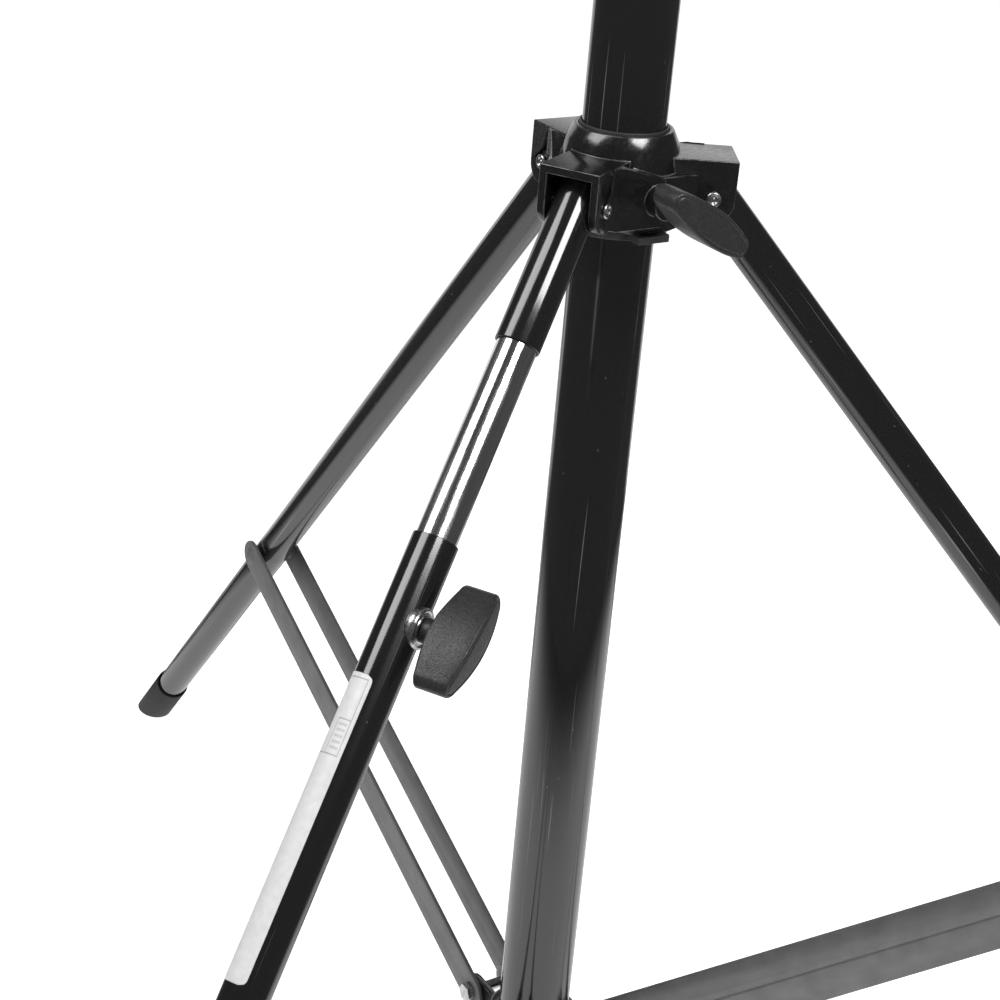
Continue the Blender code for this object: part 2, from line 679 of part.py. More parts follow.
# ---------------------------------------------------------------- risers and lock collars
def lock_collar(index, tube_r, riser_r, top_of_tube):
    """Clamp on the top of a tube: sleeve, guide bush, screw boss, pad and T-knob."""
    outer = tube_r + GAP + LOCK_WALL
    bush_out = riser_r + 0.0020
    bottom, top = top_of_tube - LOCK_HALF, top_of_tube + LOCK_HALF
    body = turned("lock_collar_%d" % index,
                  [(outer - 0.002, top), (outer, top - 0.002), (outer, top - 0.030),
                   (outer - 0.002, top - 0.034), (outer - 0.002, bottom + 0.001),
                   (outer - 0.003, bottom), (tube_r + GAP, bottom), (tube_r + GAP, top_of_tube + GAP),
                   (bush_out + GAP, top_of_tube + GAP), (bush_out + GAP, top)],
                  ring=True, steps=SEGMENTS)
    screw_z = top_of_tube + 0.020
    out = knob_frame(KNOB_AZ, screw_z, 0.0, 0.0)
    boss_end = outer + 0.010
    boss = rod("lock_boss_%d" % index, 0.0095, outer - 0.004, boss_end, local=out, group=CUTTERS, steps=COARSE)
    hole = rod("lock_screw_hole_%d" % index, SCREW_R + GAP, 0.0, 0.06, local=out, group=CUTTERS, steps=SMALL)
    join(body, boss)
    cut(body, hole)
    coat(body, "satin_casting")
    bush = sleeve("lock_bush_%d" % index, bush_out, riser_r + GAP, top_of_tube + 2 * GAP, top, steps=COARSE)
    cut(bush, hole)
    coat(bush, "grey_nylon")
    brake_pad("lock_pad_%d" % index, out, riser_r + GAP, riser_r + 0.003)
    knob_d = boss_end + 0.002 - HUB_BACK
    t_knob("lock_knob_%d" % index, knob_frame(KNOB_AZ, screw_z, knob_d, LOCK_KNOB_ROLL),
           riser_r + 0.003 + GAP - knob_d)
    return top


def risers():
    tube_r, tube_top = COLUMN_R, COLUMN_TOP
    for index, radius in enumerate(RISERS, start=1):
        stop = lock_collar(index, tube_r, radius, tube_top)
        bottom = RISER_BOTTOM + 0.010 * (index - 1)
        last = index == len(RISERS)
        top = stop + GAP + (0.030 if last else LOCK_HALF)
        tube = sleeve("riser_%d_tube" % index, radius, radius - RISER_WALL, bottom, top, steps=SEGMENTS)
        coat(tube, "black_steel")
        tube_r, tube_top = radius, top
    head(RISERS[-1], tube_top, stop + GAP)


def head(tube_r, tube_top, bottom):
    """Casting on the last riser, and the stud that carries a lamp."""
    outer = tube_r + 0.006
    top = bottom + HEAD_H
    stud_hole = STUD_R + GAP
    casting = turned("head_casting",
                     [(outer - 0.002, top), (outer, top - 0.002), (outer, bottom + 0.001),
                      (outer - 0.001, bottom), (tube_r + GAP, bottom), (tube_r + GAP, tube_top + GAP),
                      (stud_hole, tube_top + GAP), (stud_hole, top)], ring=True, steps=SEGMENTS)
    coat(casting, "satin_casting")
    neck = STUD_R - 0.0015
    stud = turned("head_stud",
                  [(0.0, top + STUD_H), (STUD_R - 0.001, top + STUD_H), (STUD_R, top + STUD_H - 0.001),
                   (STUD_R, top + 0.034), (neck, top + 0.031), (neck, top + 0.021), (STUD_R, top + 0.018),
                   (STUD_R, tube_top + 0.002), (0.0, tube_top + 0.002)], steps=32)
    coat(stud, "plated_steel")


# ---------------------------------------------------------------- assembly
column()
lower_collar()
spider()
pad_frame = knob_frame(KNOB_AZ, SPIDER_KNOB_Z, 0.0, 0.0)
brake_pad("spider_brake_pad", pad_frame, COLUMN_R + GAP, COLUMN_R + 0.003)
t_knob("spider_knob", knob_frame(KNOB_AZ, SPIDER_KNOB_Z, SPIDER_KNOB_D, SPIDER_KNOB_ROLL),
       COLUMN_R + 0.003 + GAP - SPIDER_KNOB_D)
levelling_leg()
plain_leg("b")
plain_leg("c")
for leg_key in AZIMUTHS:
    brace(leg_key)
risers()
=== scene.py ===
"""Looks of the heavy black tripod stand: materials, fine pieces, soft studio light and camera."""
import json
import math

import bmesh
import bpy
from mathutils import Matrix, Vector, noise as wave


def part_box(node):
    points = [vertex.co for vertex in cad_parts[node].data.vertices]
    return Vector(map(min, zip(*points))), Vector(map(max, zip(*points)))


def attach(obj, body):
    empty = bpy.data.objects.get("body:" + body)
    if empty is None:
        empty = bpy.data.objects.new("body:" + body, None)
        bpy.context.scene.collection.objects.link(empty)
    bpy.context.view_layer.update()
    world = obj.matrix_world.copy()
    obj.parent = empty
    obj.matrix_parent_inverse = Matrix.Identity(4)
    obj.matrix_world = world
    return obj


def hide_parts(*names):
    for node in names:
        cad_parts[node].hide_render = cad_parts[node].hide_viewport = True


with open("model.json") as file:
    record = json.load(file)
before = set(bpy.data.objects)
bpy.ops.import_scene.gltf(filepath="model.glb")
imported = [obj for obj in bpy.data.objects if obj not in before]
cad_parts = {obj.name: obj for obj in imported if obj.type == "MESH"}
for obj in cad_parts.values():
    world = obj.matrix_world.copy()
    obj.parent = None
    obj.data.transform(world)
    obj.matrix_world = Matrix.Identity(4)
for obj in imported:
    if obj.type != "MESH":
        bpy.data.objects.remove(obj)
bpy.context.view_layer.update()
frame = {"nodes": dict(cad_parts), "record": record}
NODES = frame["nodes"]
RECORD = frame["record"]
JOINTS = {j["name"]: j for j in RECORD["behaviour"]["joints"]}
MOUNTS = {m["name"]: m for m in RECORD["mounts"]}
FLOOR_Z = MOUNTS["foot_a_sole"]["pos_m"][2]
UP = Vector((0, 0, 1))
LEG_DOWN = Vector(JOINTS["leg_a_extension"]["axis"])


# ---------------------------------------------------------------- camera
PIN_Z = JOINTS["leg_c_fold"]["pos_m"][2]
CAMERA_AT = (-0.11895, -1.16613, PIN_Z + 0.32867)
CAMERA_TURN = math.radians(3.17)         # clockwise from +Y
CAMERA_PITCH = math.radians(24.81)       # downwards
CAMERA_ROLL = math.radians(4.78)
LENS_MM = 72.74


def make_camera():
    side = Vector((math.cos(CAMERA_TURN), -math.sin(CAMERA_TURN), 0.0))
    heading = UP.cross(side)
    forward = heading * math.cos(CAMERA_PITCH) - UP * math.sin(CAMERA_PITCH)
    up = side.cross(forward)
    right = side * math.cos(CAMERA_ROLL) + up * math.sin(CAMERA_ROLL)
    above = up * math.cos(CAMERA_ROLL) - side * math.sin(CAMERA_ROLL)
    data = bpy.data.cameras.new("camera")
    data.lens = LENS_MM
    data.sensor_width = 36.0
    data.clip_end = 50.0
    camera = bpy.data.objects.new("camera", data)
    bpy.context.scene.collection.objects.link(camera)
    turn = Matrix((right, above, -forward)).transposed().to_4x4()
    camera.matrix_world = Matrix.Translation(CAMERA_AT) @ turn
    bpy.context.scene.camera = camera


make_camera()
bpy.context.scene.view_settings.view_transform = "Standard"


# ---------------------------------------------------------------- light and floor
CENTRE = Vector((0.0, 0.0, PIN_Z - 0.15))     # the lamps aim here
ROOM_DIM = 0.075                              # what the parts see of the room, against white
FLOOR_GLOW = 0.92                             # brings the lit floor up to white
FLOOR_R = 30.0
FLOOR_DROP, SHEEN_DROP = 0.0005, 0.0004       # how far the floor and its sheen lie under the soles
WALL_SHEEN_UP = 0.9


def softbox(name, azimuth, elevation, distance, width, height, radiance, toward=UP):
    """An area lamp seen from CENTRE at this azimuth, clockwise from +Y, and elevation.

    Its height runs in the direction toward."""
    data = bpy.data.lights.new(name, "AREA")
    data.shape = "RECTANGLE"
    data.size, data.size_y = width, height
    data.energy = radiance * math.pi * width * height
    lamp = bpy.data.objects.new(name, data)
    bpy.context.scene.collection.objects.link(lamp)
    a, e = math.radians(azimuth), math.radians(elevation)
    away = Vector((math.sin(a) * math.cos(e), math.cos(a) * math.cos(e), math.sin(e)))
    upright = (toward - away * toward.dot(away)).normalized()
    turn = Matrix((upright.cross(away), upright, away)).transposed().to_4x4()
    lamp.matrix_world = Matrix.Translation(CENTRE + away * distance) @ turn
    lamp.visible_camera = False


softbox("softbox_left", azimuth=-101, elevation=47, distance=2.0, width=1.0, height=1.15, radiance=5.0)
# turned with the levelling leg, so that its streak ends where the lower tube begins
softbox("softbox_right", azimuth=146.5, elevation=49.5, distance=2.1, width=0.98, height=0.66,
        radiance=12.0, toward=-LEG_DOWN)


def room():
    """White to the camera, dim to everything else."""
    world = bpy.data.worlds.new("studio")
    bpy.context.scene.world = world
    world.use_nodes = True
    tree = world.node_tree
    tree.nodes.clear()
    out = tree.nodes.new("ShaderNodeOutputWorld")
    mix = tree.nodes.new("ShaderNodeMixShader")
    seen = tree.nodes.new("ShaderNodeBackground")
    seen.inputs["Color"].default_value = (1, 1, 1, 1)
    dim = tree.nodes.new("ShaderNodeBackground")
    dim.inputs["Color"].default_value = (1, 1, 1, 1)
    dim.inputs["Strength"].default_value = ROOM_DIM
    path = tree.nodes.new("ShaderNodeLightPath")
    tree.links.new(path.outputs["Is Camera Ray"], mix.inputs["Fac"])
    tree.links.new(dim.outputs[0], mix.inputs[1])
    tree.links.new(seen.outputs[0], mix.inputs[2])
    tree.links.new(mix.outputs[0], out.inputs["Surface"])


room()


def stage_disc(name, radius, height, mat):
    bm = bmesh.new()
    bmesh.ops.create_circle(bm, cap_ends=True, segments=96, radius=radius)
    mesh = bpy.data.meshes.new(name)
    bm.to_mesh(mesh)
    bm.free()
    mesh.materials.append(mat)
    obj = bpy.data.objects.new(name, mesh)
    bpy.context.scene.collection.objects.link(obj)
    obj.location.z = height
    return obj


def only_glossy(obj):
    for kind in ("camera", "diffuse", "shadow", "transmission", "volume_scatter"):
        setattr(obj, "visible_" + kind, False)


def glow(name, strength):
    mat = bpy.data.materials.new(name)
    mat.use_nodes = True
    tree = mat.node_tree
    tree.nodes.clear()
    out = tree.nodes.new("ShaderNodeOutputMaterial")
    shine = tree.nodes.new("ShaderNodeEmission")
    shine.inputs["Strength"].default_value = strength
    tree.links.new(shine.outputs[0], out.inputs["Surface"])
    return mat, shine


def floor():
    pale = bpy.data.materials.new("pale_floor")
    pale.use_nodes = True
    shader = pale.node_tree.nodes["Principled BSDF"]
    shader.inputs["Base Color"].default_value = (0.9, 0.9, 0.9, 1)
    shader.inputs["Roughness"].default_value = 0.9
    shader.inputs["Emission Color"].default_value = (1, 1, 1, 1)
    shader.inputs["Emission Strength"].default_value = FLOOR_GLOW
    stage_disc("floor", FLOOR_R, FLOOR_Z - FLOOR_DROP, pale).visible_glossy = False


def sheen(name, x, y, reach_x, reach_y, level, full):
    """An oval of white paper that only gloss sees; it fades out beyond the share full of its reach."""
    mat, shine = glow(name, level)
    tree = mat.node_tree
    place = tree.nodes.new("ShaderNodeTexCoord")
    reach = tree.nodes.new("ShaderNodeVectorMath")
    reach.operation = "LENGTH"
    fade = tree.nodes.new("ShaderNodeMapRange")
    fade.interpolation_type = "SMOOTHSTEP"
    fade.inputs["From Min"].default_value = 1.0
    fade.inputs["From Max"].default_value = full
    tree.links.new(place.outputs["Object"], reach.inputs[0])
    tree.links.new(reach.outputs["Value"], fade.inputs["Value"])
    tree.links.new(fade.outputs["Result"], shine.inputs["Color"])
    disc = stage_disc(name, 1.0, FLOOR_Z - SHEEN_DROP, mat)
    disc.location.x, disc.location.y = x, y
    disc.scale = (reach_x, reach_y, 1.0)
    only_glossy(disc)
    return disc


floor()
sheen("floor_sheen", x=0.03, y=0.30, reach_x=0.96, reach_y=0.98, level=1.0, full=0.62)
sheen("back_sheen", x=0.0, y=2.55, reach_x=1.95, reach_y=1.9, level=1.0, full=0.8)
wall = sheen("wall_sheen", x=0.0, y=2.9, reach_x=2.6, reach_y=1.5, level=0.95, full=0.85)
wall.location.z = FLOOR_Z + WALL_SHEEN_UP
wall.rotation_euler.x = math.radians(90)


# ---------------------------------------------------------------- materials
def principled(name, colour, roughness, metallic=0.0, **sockets):
    mat = bpy.data.materials.new(name)
    mat.use_nodes = True
    shader = mat.node_tree.nodes["Principled BSDF"]
    shader.inputs["Base Color"].default_value = (*colour, 1.0)
    shader.inputs["Roughness"].default_value = roughness
    shader.inputs["Metallic"].default_value = metallic
    for key, value in sockets.items():
        shader.inputs[key.replace("_", " ")].default_value = value
    return mat


def node(mat, kind, **inputs):
    made = mat.node_tree.nodes.new("ShaderNode" + kind)
    for key, value in inputs.items():
        made.inputs[key.replace("_", " ")].default_value = value
    return made


def noise(mat, scale, detail=3.0, stretch=(1, 1, 1), turn=(0, 0, 0), roughness=0.5):
    where = node(mat, "TexCoord")
    mapping = node(mat, "Mapping", Scale=stretch, Rotation=turn)
    mat.node_tree.links.new(where.outputs["Object"], mapping.inputs["Vector"])
    tex = node(mat, "TexNoise", Scale=scale, Detail=detail, Roughness=roughness)
    mat.node_tree.links.new(mapping.outputs[0], tex.inputs["Vector"])
    return tex.outputs["Fac"]


def spread(mat, source, low, high, start=0.3, end=0.7):
    made = node(mat, "MapRange", From_Min=start, From_Max=end, To_Min=low, To_Max=high)
    mat.node_tree.links.new(source, made.inputs["Value"])
    return made.outputs["Result"]


def tint(mat, source, stops):
    made = node(mat, "ValToRGB")
    ramp = made.color_ramp
    while len(ramp.elements) < len(stops):
        ramp.elements.new(0.5)
    for element, (position, colour) in zip(ramp.elements, stops):
        element.position = position
        element.color = (*colour, 1)
    mat.node_tree.links.new(source, made.inputs["Fac"])
    return made.outputs["Color"]


def bump(mat, source, strength, distance):
    made = node(mat, "Bump", Strength=strength, Distance=distance)
    shader = mat.node_tree.nodes["Principled BSDF"]
    mat.node_tree.links.new(source, made.inputs["Height"])
    mat.node_tree.links.new(made.outputs[0], shader.inputs["Normal"])


def feed(mat, source, socket):
    mat.node_tree.links.new(source, mat.node_tree.nodes["Principled BSDF"].inputs[socket])


def black_steel():
    """Gloss black coat: faint smears, dust specks and hairline scratches along the tube."""
    mat = principled("black_steel", (0.01, 0.01, 0.011), 0.12, Specular_IOR_Level=0.9, IOR=1.55)
    smear = noise(mat, 34, 4, (1, 1, 0.12))
    feed(mat, spread(mat, smear, 0.07, 0.2), "Roughness")
    dust = noise(mat, 420, 2, (1, 1, 0.45))
    marks = node(mat, "Math")
    marks.operation = "MAXIMUM"
    streaks = noise(mat, 520, 1, (1, 1, 0.012))
    mat.node_tree.links.new(spread(mat, dust, 0.0, 1.0, 0.755, 0.80), marks.inputs[0])
    mat.node_tree.links.new(spread(mat, streaks, 0.0, 1.0, 0.70, 0.80), marks.inputs[1])
    feed(mat, tint(mat, marks.outputs[0], ((0.0, (0.01, 0.01, 0.011)), (1.0, (0.16, 0.16, 0.16)))),
         "Base Color")
    bump(mat, noise(mat, 120, 3, (1, 1, 0.08)), 0.04, 0.0003)
    return mat


def casting_paint():
    """Satin black coat with a slight orange-peel relief."""
    mat = principled("satin_black_casting", (0.008, 0.008, 0.0085), 0.2, Specular_IOR_Level=1.0)
    grain = noise(mat, 500, 4)
    feed(mat, spread(mat, grain, 0.14, 0.27), "Roughness")
    feed(mat, tint(mat, noise(mat, 260, 3), ((0.3, (0.006, 0.006, 0.0065)), (0.72, (0.011, 0.011, 0.0115)),
                                             (0.8, (0.06, 0.06, 0.06)))), "Base Color")
    bump(mat, noise(mat, 160, 3), 0.1, 0.0004)
    return mat


def chrome():
    """Bright inner tube, rubbed along its length by the tube that slides on it."""
    mat = principled("chrome_tube", (0.78, 0.78, 0.79), 0.08, 1.0)
    lean = LEG_DOWN.to_track_quat("Z", "Y").to_matrix().transposed().to_euler()
    rub = noise(mat, 150, 7, (1, 1, 0.07), tuple(lean), 0.7)
    feed(mat, spread(mat, rub, 0.05, 0.34, 0.42, 0.72), "Roughness")
    feed(mat, tint(mat, rub, ((0.35, (0.82, 0.82, 0.83)), (0.75, (0.5, 0.5, 0.51)))), "Base Color")
    bump(mat, rub, 0.22, 0.0002)
    return mat


def plated():
    """Zinc-plated steel with a mottled grey bloom."""
    mat = principled("plated_steel", (0.62, 0.62, 0.63), 0.25, 1.0)
    grain = noise(mat, 650, 5)
    feed(mat, spread(mat, grain, 0.16, 0.42), "Roughness")
    feed(mat, tint(mat, noise(mat, 220, 4), ((0.3, (0.42, 0.42, 0.43)), (0.7, (0.76, 0.76, 0.77)))),
         "Base Color")
    bump(mat, grain, 0.25, 0.0003)
    return mat


def grey_bar():
    """Dull grey rolled steel of the brace bars."""
    mat = principled("grey_steel_bar", (0.14, 0.14, 0.141), 0.5)
    grain = noise(mat, 480, 5)
    feed(mat, spread(mat, grain, 0.42, 0.6), "Roughness")
    feed(mat, tint(mat, noise(mat, 60, 5), ((0.3, (0.125, 0.125, 0.126)), (0.7, (0.165, 0.165, 0.166)))),
         "Base Color")
    bump(mat, grain, 0.12, 0.0003)
    return mat


def moulded(name, colour, low, high, scale=1500, relief=0.35):
    """Fine spark-eroded grain of a moulded piece."""
    mat = principled(name, colour, 0.4, Specular_IOR_Level=0.55)
    grain = noise(mat, scale, 3)
    feed(mat, spread(mat, grain, low, high), "Roughness")
    dark = tuple(c * 0.75 for c in colour)
    pale = tuple(c * 1.35 for c in colour)
    feed(mat, tint(mat, noise(mat, scale * 0.6, 3), ((0.3, dark), (0.7, pale))), "Base Color")
    bump(mat, grain, relief, 0.0003)
    return mat


def painted_edge_highlight():
    """Painted highlight on the casting's rounded edges: lighter, partly metallic grey, mottled at random."""
    mat = principled("worn_casting_edge", (0.07, 0.07, 0.071), 0.2, 0.6, Specular_IOR_Level=1.0)
    # random mottle in the brightness and gloss of the painted edge highlight
    highlight_mottle = noise(mat, 90, 5)
    feed(mat, spread(mat, highlight_mottle, 0.14, 0.36), "Roughness")
    feed(mat, tint(mat, highlight_mottle, ((0.35, (0.03, 0.03, 0.031)), (0.62, (0.17, 0.17, 0.172)))), "Base Color")
    return mat


MATERIALS = {
    "black_steel": black_steel(),
    "satin_black_casting": casting_paint(),
    "chrome_tube": chrome(),
    "plated_steel": plated(),
    "grey_steel_bar": grey_bar(),
    "black_plastic": moulded("black_plastic", (0.028, 0.028, 0.0285), 0.30, 0.5, 900, 0.6),
    "grey_nylon": moulded("grey_nylon", (0.04, 0.04, 0.041), 0.45, 0.6),
    "black_rubber": moulded("black_rubber", (0.013, 0.013, 0.013), 0.6, 0.8, 900, 0.5),
}


# ---------------------------------------------------------------- pieces
SLOTS = {part["node"]: part["material_slot"] for part in RECORD["subparts"]}
BODY = {name: body for body, names in RECORD["behaviour"]["bodies"].items() for name in names}


def finish_mesh(mesh, angle=34):
    mesh.shade_smooth()
    mesh.set_sharp_from_angle(angle=math.radians(angle))


def piece(name, mesh, matrix, body, slot, replaced=(), mat=None):
    mesh.materials.append(mat or MATERIALS[slot])
    obj = bpy.data.objects.new(name, mesh)
    bpy.context.scene.collection.objects.link(obj)
    obj.matrix_world = matrix
    if replaced:
        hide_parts(*replaced)
    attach(obj, body)
    return obj


def stand_in(name, mesh, matrix, replaced):
    """A finer piece for one CAD node, on the same body and with the same finish."""
    return piece(name, mesh, matrix, BODY[replaced], SLOTS[replaced], (replaced,))


def frame_matrix(origin, z_axis, x_axis):
    """A frame from its origin, its Z direction and the direction X lies nearest to."""
    z = Vector(z_axis).normalized()
    y = z.cross(Vector(x_axis)).normalized()
    x = y.cross(z)
    return Matrix.Translation(Vector(origin)) @ Matrix((x, y, z)).transposed().to_4x4()


def eased(points, radius, count=4):
    """Round the inner corners of an open line of (radius, height) points."""
    out = [Vector(points[0])]
    for before, here, after in zip(points, points[1:], points[2:]):
        before, here, after = Vector(before), Vector(here), Vector(after)
        size = min(radius, (before - here).length * 0.45, (after - here).length * 0.45)
        start = here + (before - here).normalized() * size
        end = here + (after - here).normalized() * size
        for i in range(count + 1):
            f = i / count
            out.append(start * (1 - f) ** 2 + here * 2 * f * (1 - f) + end * f * f)
    return out + [Vector(points[-1])]


def lathe(name, profile, steps=96, closed=False):
    """A line of (radius, height) points, top to bottom on its outer side, turned about Z."""
    bm = bmesh.new()
    rings = []
    for r, z in profile:
        if r < 1e-6:
            rings.append([bm.verts.new((0, 0, z))])
        else:
            rings.append([bm.verts.new((r * math.cos(2 * math.pi * i / steps),
                                        r * math.sin(2 * math.pi * i / steps), z))
                          for i in range(steps)])
    pairs = list(zip(rings, rings[1:]))
    if closed:
        pairs.append((rings[-1], rings[0]))
    for upper, lower in pairs:
        for i in range(steps):
            j = (i + 1) % steps
            face = [upper[i % len(upper)], lower[i % len(lower)], lower[j % len(lower)],
                    upper[j % len(upper)]]
            unique = list(dict.fromkeys(face))
            if len(unique) > 2:
                bm.faces.new(unique)
    bmesh.ops.recalc_face_normals(bm, faces=bm.faces)
    mesh = bpy.data.meshes.new(name)
    bm.to_mesh(mesh)
    bm.free()
    finish_mesh(mesh)
    return mesh


SEAM = 0.0001                            # length of the bore between the profile's two ends


def tube_profile(outer, inner, bottom, top, edge=0.0005):
    """Section of a tube wall; the open line starts and ends half-way up the bore."""
    middle = (top + bottom) / 2
    ring = [(inner, middle), (inner, top), (outer, top), (outer, bottom), (inner, bottom),
            (inner, middle - SEAM)]
    return eased(ring, edge)


# ---------------------------------------------------------------- frames of the legs
LEG_ANGLE = math.acos(-LEG_DOWN.z)


def leg_frame(key):
    """Origin on the hinge pin, Z up along the leg, Y along the pin."""
    pin = Vector(JOINTS["leg_%s_fold" % key]["pos_m"])
    radial = Vector((pin.x, pin.y, 0)).normalized()
    down = radial * math.sin(LEG_ANGLE) - UP * math.cos(LEG_ANGLE)
    return frame_matrix(pin, -down, radial)


ALONG_Y = Matrix.Rotation(math.radians(-90), 4, "X")        # turns Z into Y

COLUMN_R, COLUMN_WALL = 0.025, 0.0015
RISER_RADII, RISER_WALL = (0.0225, 0.020, 0.0175), 0.0013
LEG_R, LEG_WALL = 0.0135, 0.0012
LEG_TOP_S, LEG_END_S = -0.010, 0.958
INNER_R, INNER_WALL = 0.012, 0.0015
INNER_S = (0.030, 0.640)                 # ends of the bright inner tube, from the hinge pin
LEG_EDGE = 0.0006                        # rounding of the leg tubes' ends
UPPER_END_S, LOWER_TOP_S = 0.092, 0.212
KNEE_S = 0.602
LEVEL_TRAVEL = 0.118                     # how far the lower tube slides past the knee bolt
SLOT_HALF = 0.0045
GAP = 0.0003
CRIMP_HALF = 0.0112                      # half width of a leg pressed in between its brace bars


def node_ends(name):
    low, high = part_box(name)
    return low.z, high.z


def column():
    bottom, top = node_ends("column_tube")
    mesh = lathe("column", tube_profile(COLUMN_R, COLUMN_R - COLUMN_WALL, bottom, top), 160, True)
    stand_in("column", mesh, Matrix(), "column_tube")
    for index, radius in enumerate(RISER_RADII, start=1):
        name = "riser_%d_tube" % index
        bottom, top = node_ends(name)
        mesh = lathe("riser_%d" % index, tube_profile(radius, radius - RISER_WALL, bottom, top), 128, True)
        stand_in("riser_%d" % index, mesh, Matrix(), name)


column()


def slot_cutter(first, last, half):
    """A bar with round ends through the tube along Y, for a slot from first to last along the leg."""
    bm = bmesh.new()
    arc, reach = 16, 0.02                # reach clears the tube on both sides
    outline = []
    for start, middle in ((0.0, -first - half), (math.pi, -last + half)):
        for i in range(arc + 1):
            angle = start + math.pi * i / arc
            outline.append((half * math.cos(angle), middle + half * math.sin(angle)))
    near = [bm.verts.new((x, -reach, z)) for x, z in outline]
    far = [bm.verts.new((x, reach, z)) for x, z in outline]
    bm.faces.new(near)
    bm.faces.new(list(reversed(far)))
    for i in range(len(outline)):
        j = (i + 1) % len(outline)
        bm.faces.new((near[j], near[i], far[i], far[j]))
    bmesh.ops.recalc_face_normals(bm, faces=bm.faces)
    mesh = bpy.data.meshes.new("slot_cutter")
    bm.to_mesh(mesh)
    bm.free()
    obj = bpy.data.objects.new("slot_cutter", mesh)
    bpy.context.scene.collection.objects.link(obj)
    return obj


def bake_modifiers(obj):
    """Put what the modifiers make into the piece's own mesh."""
    made = bpy.data.meshes.new_from_object(obj.evaluated_get(bpy.context.evaluated_depsgraph_get()))
    obj.modifiers.clear()
    obj.data = made
    finish_mesh(made)


def levelling_leg():
    here = leg_frame("a")
    inside = LEG_R - LEG_WALL
    for name, outer, inner, top, end in (
            ("leg_a_upper_tube", LEG_R, inside, LEG_TOP_S, UPPER_END_S),
            ("leg_a_inner_tube", INNER_R, INNER_R - INNER_WALL, *INNER_S)):
        mesh = lathe(name + "_fine", tube_profile(outer, inner, -end, -top, LEG_EDGE), 128, True)
        stand_in(name + "_fine", mesh, here, name)
    name = "leg_a_lower_tube"
    wall = tube_profile(LEG_R, inside, -LEG_END_S, -LOWER_TOP_S, LEG_EDGE)
    mesh = lathe(name + "_fine", wall, 128, True)
    lower = stand_in(name + "_fine", mesh, here, name)
    cutter = slot_cutter(KNEE_S - GAP, KNEE_S + LEVEL_TRAVEL + GAP, SLOT_HALF)
    cutter.matrix_world = here
    slots = lower.modifiers.new("slots", "BOOLEAN")
    slots.object = cutter
    slots.solver = "EXACT"
    bake_modifiers(lower)
    bpy.data.objects.remove(cutter, do_unlink=True)


levelling_leg()


# distance from the knee, and how far the tube's sides are pressed in there
CRIMP = ((0.0, 1.0), (0.0095, 1.0), (0.0125, 0.90), (0.018, 0.5), (0.028, 0.27), (0.040, 0.13),
         (0.054, 0.04), (0.070, 0.0))
CHAMFER, CHAMFER_IN = 0.0005, 0.0004     # along and across at the tube's ends
BULGE = 0.05                             # the pressed tube grows this share the other way


def pressed(reach):
    """How far the sides are pressed in at this distance from the knee, from 0 to 1."""
    for (near, more), (far, less) in zip(CRIMP, CRIMP[1:]):
        if reach <= far:
            f = (reach - near) / (far - near)
            return more + (less - more) * f
    return 0.0


def soft_limit(value, limit, blend=0.0012):
    """Flatten beyond the limit, with a small bend radius where the flat starts."""
    over = abs(value) - limit
    if over <= -blend:
        return value
    if over >= blend:
        return math.copysign(limit, value)
    lost = (over + blend) ** 2 / (4 * blend)
    return math.copysign(abs(value) - lost, value)


def crimped_tube(name):
    """A plain leg tube, pressed in on both sides round its knee bolt."""
    stations = [LEG_TOP_S, LEG_TOP_S + CHAMFER]
    span = CRIMP[-1][0]
    count = 72
    stations += [KNEE_S + span * (2 * i / count - 1) for i in range(count + 1)]
    stations += [LEG_END_S - CHAMFER, LEG_END_S]
    steps = 128
    bm = bmesh.new()
    shells = []
    for radius, flip in ((LEG_R, 1), (LEG_R - LEG_WALL, -1)):
        rings = []
        for index, s in enumerate(stations):
            amount = pressed(abs(s - KNEE_S))
            edge = CHAMFER_IN * flip if index in (0, len(stations) - 1) else 0.0
            limit = radius - amount * (LEG_R - CRIMP_HALF)
            ring = []
            for i in range(steps):
                angle = 2 * math.pi * i / steps
                x = (radius - edge) * math.cos(angle) * (1 + BULGE * amount)
                y = (radius - edge) * math.sin(angle)
                ring.append(bm.verts.new((x, soft_limit(y, limit) if amount > 0 else y, -s)))
            rings.append(ring)
        for upper, lower in zip(rings, rings[1:]):
            for i in range(steps):
                j = (i + 1) % steps
                bm.faces.new((upper[i], lower[i], lower[j], upper[j]))
        shells.append(rings)
    for index in (0, -1):
        for i in range(steps):
            j = (i + 1) % steps
            bm.faces.new((shells[0][index][i], shells[0][index][j], shells[1][index][j], shells[1][index][i]))
    bmesh.ops.recalc_face_normals(bm, faces=bm.faces)
    mesh = bpy.data.meshes.new(name)
    bm.to_mesh(mesh)
    bm.free()
    finish_mesh(mesh)
    return mesh


for leg in "bc":
    stand_in("leg_%s_fine" % leg, crimped_tube("leg_%s_fine" % leg), leg_frame(leg), "leg_%s_tube" % leg)


# ---------------------------------------------------------------- T-knobs
WING_HALF = 0.033                        # half length of the bar
WING_END_R = 0.0065
WING_MID = 0.010                         # half width at the middle
WING_DEPTH = 0.020
CROWN = 0.004                            # rise of the front face at the middle
BACK_SWELL = 0.004                       # rise of the back towards the hub
PANEL_INSET = 0.0035                     # from the rim to the sunk panel
HUB_R, HUB_BORE = 0.0072, 0.0055
HUB_FLARE = 0.0016
BOSS_END = 0.0148                        # face of the levelling leg's boss, from the leg's axis
MM = 0.001
END_STEPS, FLANK_STEPS = 12, 24          # outline steps round an end and along a flank


